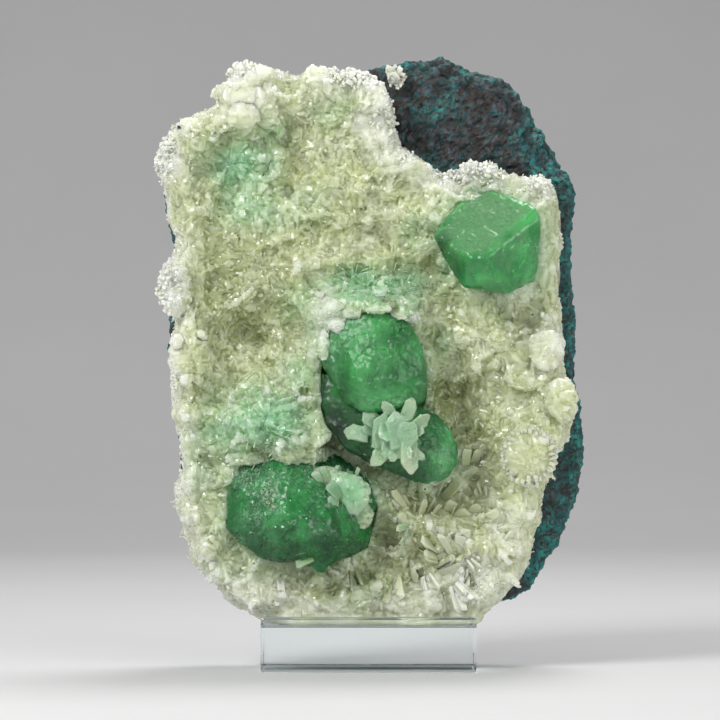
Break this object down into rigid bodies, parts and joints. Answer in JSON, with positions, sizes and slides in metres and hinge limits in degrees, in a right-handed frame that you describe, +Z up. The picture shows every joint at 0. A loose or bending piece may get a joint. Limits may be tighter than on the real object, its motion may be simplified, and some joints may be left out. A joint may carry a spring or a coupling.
{
  "type": "apophyllite mineral specimen",
  "caption": "Green apophyllite crystals on a pale bladed stilbite crust over basalt, standing upright in a clear channelled acrylic block.",
  "frame": {"origin": "the middle of the clear block's underside", "axes": "+Z up, the crystal-covered face towards -Y, +X to the right as seen from the front"},
  "size_m": [0.1299, 0.0618, 0.1844],
  "materials": {
    "clear_acrylic": "polished, clear",
    "basalt": "rough, dark brown and black with a teal skin",
    "stilbite": "pearly, pale yellow-green to white",
    "apophyllite": "vitreous green, partly frosted"
  },
  "bodies": {
    "root": {"acrylic_stand": "clear_acrylic", "basalt_matrix": "basalt", "stilbite_crust": "stilbite", "stilbite_spray": "stilbite", "stilbite_chip": "stilbite", "apophyllite_upper_right": "apophyllite", "apophyllite_centre": "apophyllite", "apophyllite_lower_left": "apophyllite"}
  },
  "joints": []
}
